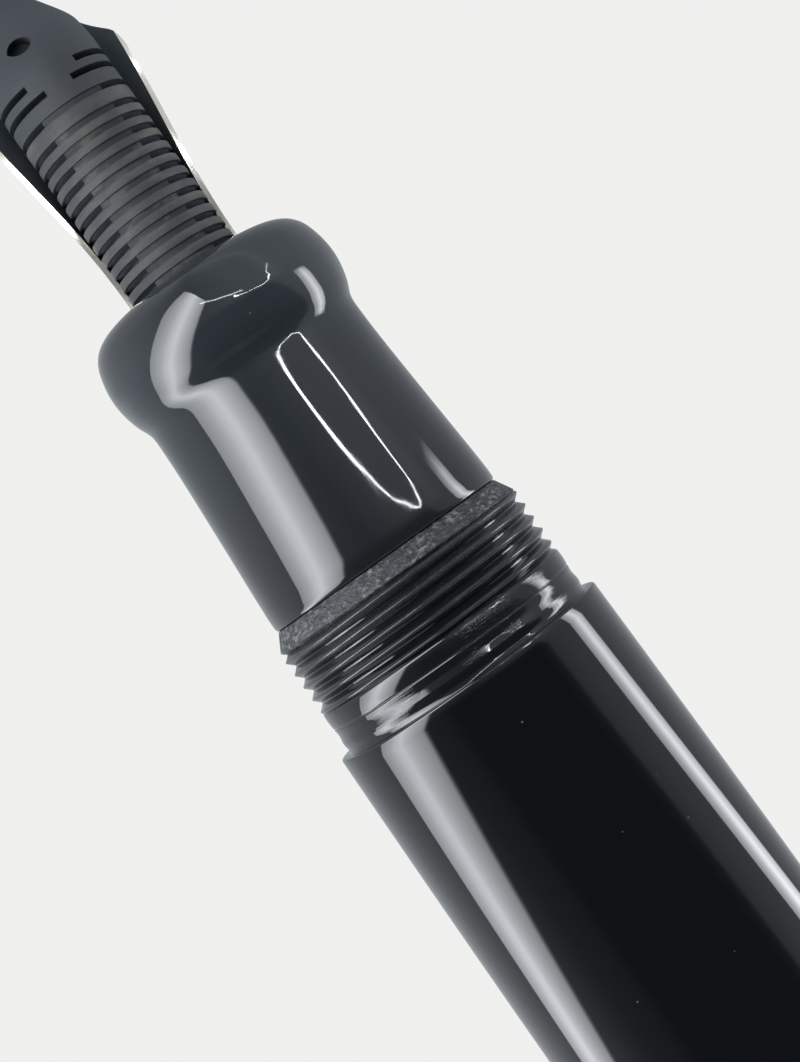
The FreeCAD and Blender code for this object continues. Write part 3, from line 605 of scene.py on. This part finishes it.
# Radii of the grip every half millimetre, from just behind the seam to just past the lip.
SECTION_RADII = [
    6.642, 6.646, 6.650, 6.620, 6.591, 6.559, 6.526, 6.492, 6.459, 6.426, 6.393, 6.361,
    6.329, 6.297, 6.265, 6.234, 6.202, 6.173, 6.144, 6.118, 6.096, 6.078, 6.065, 6.054,
    6.080, 6.360, 6.506, 6.616, 6.676, 6.679, 6.627, 6.522, 6.379, 6.122, 5.583,
]
grip_run = eased_run(SECTION_RADII, SEAM - 0.3, 0.5)[1:]

section_lip = [(LEDGE, MOUTH), (5.60, MOUTH, 1.5)]
section_tenon = [
    (6.645, SEAM, 0.22),
    (TENON, SEAM),
    (TENON, RING_GROOVE[0]),
    (TENON - GROOVE_DEPTH, RING_GROOVE[0]),
    (TENON - GROOVE_DEPTH, RING_GROOVE[1]),
    (TENON, RING_GROOVE[1]),
    (TENON_ROOT, SEAM - 1.9),
    (TENON_ROOT, SEAM - 7.7),
    (5.05, TENON_END),
]
section_bore = [
    (LEDGE, TENON_END),
    (LEDGE, REAR_LEDGE),
    (GRIP_BORE, REAR_LEDGE),
    (GRIP_BORE, FRONT_LEDGE),
    (LEDGE, FRONT_LEDGE),
]

section = turned(
    "section_turned",
    section_lip + grip_run[::-1] + section_tenon + section_bore,
    SECTION_RESIN,
    "grip",
    grain=0.25,
)
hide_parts("grip_section")


def mouth_bevel(height):
    """The bevel in front of the cap thread cuts its first turn down."""
    return BEVEL_FOOT + (SEAM - height) * BEVEL_RISE / BEVEL_RUN


cut_thread(
    "cap_thread",
    THREAD_ROOT,
    THREAD_CREST,
    CAP_PITCH,
    SEAM - 4.86,
    SEAM - 0.60,
    CUT_RESIN,
    "barrel",
    limit=mouth_bevel,
)
cut_thread(
    "section_thread",
    TENON_ROOT,
    TENON - 0.01,
    TENON_PITCH,
    SEAM - 7.2,
    SEAM - 2.1,
    CUT_RESIN,
    "grip",
)

# ------------------------------------------------------------- comb of the feed


def comb_sectors(name, bands, outer, sweep, rounding=0.0):
    """Sectors spun round the underside of the feed, one for each (low, high) band of heights."""
    mesh = bmesh.new()
    start = Matrix.Rotation(math.radians(-90.0 - sweep / 2), 3, "Z")
    for low, high in bands:
        places = [(COMB_CORE, low), (outer, low), (outer, high), (COMB_CORE, high)]
        corners = [mesh.verts.new((r * MM, 0.0, z * MM)) for r, z in places]
        mesh.faces.new(corners)
        if rounding:
            bmesh.ops.bevel(
                mesh,
                geom=corners[1:3],
                offset=rounding * MM,
                offset_type="OFFSET",
                segments=3,
                profile=0.5,
                affect="VERTICES",
                material=-1,
            )
        profile = corners[0].link_faces[0]
        bmesh.ops.rotate(mesh, cent=(0, 0, 0), matrix=start, verts=profile.verts)
        bmesh.ops.spin(
            mesh,
            geom=[profile],
            cent=(0, 0, 0),
            axis=(0, 0, 1),
            dvec=(0, 0, 0),
            angle=math.radians(sweep),
            steps=COMB_STEPS,
            use_merge=False,
            use_duplicate=False,
        )
    finished(name, mesh, FEED_PLASTIC, "grip", sharp=40.0)


slot_heights = [MOUTH + FIRST_SLOT - SLOT_PITCH * number for number in range(SLOT_COUNT)]
fin_bands = [
    (low + HALF_SLOT, high - HALF_SLOT) for low, high in zip(slot_heights[1:], slot_heights)
]
fin_bands.append((slot_heights[0] + HALF_SLOT, MOUTH + COMB_END - HALF_SLOT))
spine_band = (slot_heights[-1] - SPINE_OVERLAP, MOUTH + SPINE_END)
comb_sectors("comb_fins", fin_bands, COMB_RADIUS + FIN_COVER, FIN_SWEEP, rounding=FIN_ROUNDING)
comb_sectors("comb_spine", [spine_band], COMB_RADIUS - SPINE_INSET, SPINE_SWEEP)

# --------------------------------------------------------- carried-over nodes

FINISHES = {
    "section_o_ring": RUBBER,
    "nib_housing": MOULDED,
    "feed": FEED_PLASTIC,
    "nib": NIB_PLATE,
    "nib_tipping": TIPPING,
    "converter_tube": CLEAR,
    "converter_collar": COLLAR,
    "converter_guide": MOULDED,
    "converter_knob": MOULDED,
    "converter_spindle": SPINDLE,
    "converter_piston": SEAL,
}
for node, finish in FINISHES.items():
    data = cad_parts[node].data
    data.materials.clear()
    data.materials.append(finish)

# ------------------------------------------------------------------- camera

# The camera stands 6 degrees to the left of the pen's front and is rolled, so that the pen
# leans to the left across the frame.  Distances are in millimetres.
SIDE = math.radians(-6.0)
RIGHT_ACROSS = 0.815
RIGHT_ALONG = 0.579
AIM_ACROSS = 1.29
AIM_ALONG = 3.37
CAMERA_AWAY = 102.5

across = Vector((math.cos(SIDE), math.sin(SIDE), 0.0))
along = Vector((0.0, 0.0, 1.0))
inward = Vector((-math.sin(SIDE), math.cos(SIDE), 0.0))
right = (RIGHT_ACROSS * across - RIGHT_ALONG * along).normalized()
up = RIGHT_ALONG * across + RIGHT_ACROSS * along
up = (up - up.dot(right) * right).normalized()

lens = bpy.data.cameras.new("camera")
lens.lens = 69.49
lens.sensor_width = 36.0
lens.clip_start = 0.001
camera = bpy.data.objects.new("camera", lens)
bpy.context.collection.objects.link(camera)
place = Matrix((right, up, -inward)).transposed().to_4x4()
place.translation = (across * AIM_ACROSS + along * AIM_ALONG - inward * CAMERA_AWAY) * MM
camera.matrix_world = place
bpy.context.scene.camera = camera

# -------------------------------------------------------------------- lamps


def from_pen(side, near, height):
    """A place in metres from mm to the right of the pen, towards the camera and along the pen."""
    return (across * side - inward * near + along * height) * MM


LAMP_COLOUR = (0.950, 0.970, 1.02)


def light_strip(name, centre, run, breadth, length, width, glow, tones=None, ends=None):
    """A strip lamp whose long side lies along run; it is seen in gloss alone.  The tones give
    its brightness across its width, and the ends along its length."""
    lamp = bpy.data.lights.new(name, "AREA")
    lamp.shape = "RECTANGLE"
    lamp.size = width * MM
    lamp.size_y = length * MM
    lamp.energy = glow * math.pi * width * length * MM * MM
    lamp.color = LAMP_COLOUR
    if tones:
        lamp.use_nodes = True
        tree = lamp.node_tree
        emission = next(node for node in tree.nodes if node.type == "EMISSION")
        geometry = tree.nodes.new("ShaderNodeNewGeometry")
        split = tree.nodes.new("ShaderNodeSeparateXYZ")
        tree.links.new(geometry.outputs["Parametric"], split.inputs["Vector"])
        level = tree.nodes.new("ShaderNodeMath")
        level.operation = "MULTIPLY"
        for socket, axis, stops in ((level.inputs[0], "X", tones), (level.inputs[1], "Y", ends)):
            greys = [(at, grey(tone)) for at, tone in stops]
            tree.links.new(ramp(tree, split.outputs[axis], greys), socket)
        tree.links.new(level.outputs["Value"], emission.inputs["Strength"])
    strip = bpy.data.objects.new(name, lamp)
    bpy.context.collection.objects.link(strip)
    middle = from_pen(*centre)
    tall = from_pen(*run).normalized()
    side = from_pen(*breadth)
    side = (side - side.dot(tall) * tall).normalized()
    back = side.cross(tall)
    if back.dot(middle) < 0:
        side, back = -side, -back
    facing = Matrix((side, tall, back)).transposed().to_4x4()
    strip.matrix_world = Matrix.Translation(middle) @ facing
    strip.visible_camera = False
    strip.visible_diffuse = False
    strip.visible_transmission = False


SOFTBOX = [
    (0.0, 0.34), (0.12, 0.44), (0.26, 0.60), (0.38, 0.83), (0.51, 1.0),
    (0.64, 0.77), (0.77, 0.60), (0.91, 0.44), (0.94, 0.30), (0.96, 0.11), (1.0, 0.0),
]
light_strip(
    "left_strip",
    centre=(-64.5, 4.6, -28.1),
    run=(0.521, 0.459, 0.719),
    breadth=(0.339, 0.663, -0.668),
    length=234,
    width=33,
    glow=11.3,
    tones=SOFTBOX,
    ends=[(0.62, 0.84), (0.70, 1.0)],
)
light_strip(
    "right_strip",
    centre=(98.6, -10.7, -12.5),
    run=(0.605, 0.380, 0.699),
    breadth=(0.468, -0.881, 0.073),
    length=95,
    width=35.5,
    glow=9.6,
    tones=SOFTBOX,
    ends=[(0.82, 1.0), (0.93, 0.7), (1.0, 0.1)],
)

# A far frame of thin tubes, corner by corner: bearing from the camera's side and rise in
# degrees, then the width and the glow of the tube to the next corner.
FRAME_FAR = 400.0
FRAME_CENTRE = 8.0
FRAME_CORNERS = [
    (66.0, 21.5, 8.0, 8), (59.0, 15.0, 8.0, 12), (59.7, 11.2, 9.0, 18), (59.1, 10.3, 8.5, 18),
    (58.5, 9.9, 8.5, 18), (57.4, 9.4, 8.0, 18), (56.9, 8.7, 7.0, 20), (56.8, 7.9, 5.0, 20),
    (56.5, 7.1, 3.5, 24), (53.6, 6.1, 3.0, 26), (49.0, 5.0, 3.0, 28), (45.0, 5.7, 2.2, 30),
    (40.6, 6.35, 1.8, 32), (36.8, 6.85, 1.7, 34), (34.4, 7.2, 2.0, 36), (32.4, 7.8, 2.4, 36),
    (29.0, 8.75, 3.6, 32), (26.2, 9.4, 6.0, 28), (25.2, 9.9, 8.5, 24), (24.3, 10.35, 12.5, 20),
    (23.7, 10.8, 15.0, 18), (23.4, 11.3, 12.0, 14), (23.2, 12.4, 0.0, 0),
]
FRAME_ARM = [
    (31.5, 12.2, 6.0, 16), (21.5, 15.4, 7.0, 15), (8.8, 20.6, 7.0, 15), (-4.0, 27.0, 0.0, 0),
]


def far_place(bearing_angle, rise_angle):
    """Where a bearing and a rise, in degrees, meet the far frame."""
    turn, lift = math.radians(bearing_angle), math.radians(rise_angle)
    level = FRAME_FAR * math.cos(lift)
    height = FRAME_CENTRE + FRAME_FAR * math.sin(lift)
    return Vector((math.sin(turn) * level, math.cos(turn) * level, height))


def light_frame(name, corners):
    """Thin tubes from corner to corner, far from the pen."""
    for number, (corner, following) in enumerate(zip(corners, corners[1:])):
        start, end = far_place(*corner[:2]), far_place(*following[:2])
        width, glow = corner[2:]
        run = end - start
        middle = (start + end) / 2
        length = run.length + 0.5 * width
        light_strip(f"{name}_{number}", middle, run, run.cross(start), length, width, glow)


light_frame("frame", FRAME_CORNERS)
light_frame("frame_arm", FRAME_ARM)


FILL_SIZE = 160


def soft_lamp(name, centre, level):
    """A broad lamp that aims at the pen and lights its dull surfaces at a plain level."""
    lamp = bpy.data.lights.new(name, "AREA")
    lamp.shape = "DISK"
    lamp.size = FILL_SIZE * MM
    middle = from_pen(*centre)
    lamp.energy = level * math.pi * middle.length_squared * 4.0
    panel = bpy.data.objects.new(name, lamp)
    bpy.context.collection.objects.link(panel)
    aim = middle.to_track_quat("Z", "Y").to_matrix().to_4x4()
    panel.matrix_world = Matrix.Translation(middle) @ aim
    panel.visible_camera = False
    panel.visible_glossy = False


soft_lamp("left_fill", (-300, 160, 120), 0.35)
soft_lamp("right_fill", (280, 60, 160), 0.32)

# --------------------------------------------------------------------- room

world = bpy.data.worlds.new("studio")
world.use_nodes = True
bpy.context.scene.world = world
air = world.node_tree


def air_math(operation, *values):
    """A maths node of the room's tree, fed by sockets or plain numbers."""
    step = air.nodes.new("ShaderNodeMath")
    step.operation = operation
    for socket, value in zip(step.inputs, values):
        if isinstance(value, bpy.types.NodeSocket):
            air.links.new(value, socket)
        else:
            socket.default_value = value
    return step.outputs["Value"]


def air_dot(direction):
    """How far the gaze points in a direction."""
    gaze = air.nodes.new("ShaderNodeVectorMath")
    gaze.operation = "DOT_PRODUCT"
    air.links.new(air_place.outputs["Generated"], gaze.inputs[0])
    gaze.inputs[1].default_value = direction
    return gaze.outputs["Value"]


ROOM_TINT = (0.935, 0.995, 1.055)
ROOM_LEAN = -60.0
HIGH_FROM = 0.16
PAPER_SHADE = (0.868, 0.868, 0.860, 1.0)

air_place = air.nodes.new("ShaderNodeTexCoord")
bearing = air_math("ARCTAN2", air_dot(across), air_dot(-inward))


def room_band(levels, lean=0.0):
    """Brightness of the room by bearing from the camera's side, in degrees, positive to the right.
    With a lean, the bands on the right shift by so many degrees from the level to straight up."""
    leaning = air_math("MULTIPLY", air_dot(along), -lean / 360)
    leaning = air_math("MULTIPLY", leaning, air_math("GREATER_THAN", bearing, 0.0))
    turns = air_math("ADD", air_math("DIVIDE", bearing, math.tau), leaning)
    stops = [(a / 360 + 0.5, tuple(level * t for t in ROOM_TINT)) for a, level in levels]
    return ramp(air, air_math("ADD", turns, 0.5), stops)


low_room = room_band(
    [
        (-180, 0.42), (-160, 0.64), (-140, 0.78), (-105, 0.72), (-85, 0.60), (-72, 0.46),
        (-60, 0.28), (-50, 0.19), (-33, 0.13), (-24, 0.06), (50, 0.06), (57, 0.12),
        (61, 0.44), (74, 0.54), (120, 0.52), (155, 0.56), (180, 0.40),
    ],
    lean=ROOM_LEAN,
)
high_room = room_band(
    [
        (-180, 0.40), (-160, 0.60), (-130, 0.66), (-95, 0.78), (-60, 0.62),
        (-30, 0.34), (-5, 0.22), (15, 0.40), (32, 0.58), (55, 0.62),
        (64, 0.90), (76, 0.62), (110, 0.50), (140, 0.48), (180, 0.35),
    ]
)
rise = air.nodes.new("ShaderNodeMapRange")
rise.interpolation_type = "SMOOTHSTEP"
rise.inputs["From Min"].default_value = 0.0
rise.inputs["From Max"].default_value = HIGH_FROM
air.links.new(air_dot(along), rise.inputs["Value"])
room_mix = air.nodes.new("ShaderNodeMix")
room_mix.data_type = "RGBA"
air.links.new(rise.outputs["Result"], room_mix.inputs["Factor"])
air.links.new(low_room, room_mix.inputs["A"])
air.links.new(high_room, room_mix.inputs["B"])

shown = air.nodes["Background"]
shown.inputs["Color"].default_value = PAPER_SHADE
room = air.nodes.new("ShaderNodeBackground")
air.links.new(room_mix.outputs["Result"], room.inputs["Color"])
seen = air.nodes.new("ShaderNodeLightPath")
blend = air.nodes.new("ShaderNodeMixShader")
looked_at = air_math("MAXIMUM", seen.outputs["Is Camera Ray"], seen.outputs["Is Transmission Ray"])
air.links.new(looked_at, blend.inputs["Fac"])
air.links.new(room.outputs["Background"], blend.inputs[1])
air.links.new(shown.outputs["Background"], blend.inputs[2])
air.links.new(blend.outputs["Shader"], air.nodes["World Output"].inputs["Surface"])


# -------------------------------------------------------------------- floor

FLOOR_RADIUS = 150.0
FLOOR_FADE = 40.0
FLOOR_GAP = 0.05


def floor_paper(name):
    """Pale matt paper that fades out towards the rim of the floor."""
    material, tree, shader = new_material(name)
    shader.inputs["Specular IOR Level"].default_value = 0.0
    fibre = noise(tree, (0.05, 0.05, 0.05), 4.0, 0.6)
    paper = ramp(tree, fibre, [(0.3, (0.83, 0.83, 0.82)), (0.7, (0.84, 0.84, 0.83))])
    tree.links.new(paper, shader.inputs["Base Color"])
    clear = tree.nodes.new("ShaderNodeBsdfTransparent")
    fade = tree.nodes.new("ShaderNodeMixShader")
    tree.links.new(axis_distance(tree, FLOOR_FADE, FLOOR_RADIUS), fade.inputs["Fac"])
    tree.links.new(shader.outputs["BSDF"], fade.inputs[1])
    tree.links.new(clear.outputs["BSDF"], fade.inputs[2])
    tree.links.new(fade.outputs["Shader"], tree.nodes["Material Output"].inputs["Surface"])
    return material


floor_mesh = bmesh.new()
bmesh.ops.create_circle(floor_mesh, cap_ends=True, segments=96, radius=FLOOR_RADIUS * MM)
bmesh.ops.translate(floor_mesh, verts=floor_mesh.verts, vec=(0, 0, (BARREL_END - FLOOR_GAP) * MM))
floor_data = bpy.data.meshes.new("floor")
floor_mesh.to_mesh(floor_data)
floor_mesh.free()
floor_data.materials.append(floor_paper("floor_paper"))
floor = bpy.data.objects.new("floor", floor_data)
bpy.context.collection.objects.link(floor)

bpy.context.scene.view_settings.view_transform = "Standard"
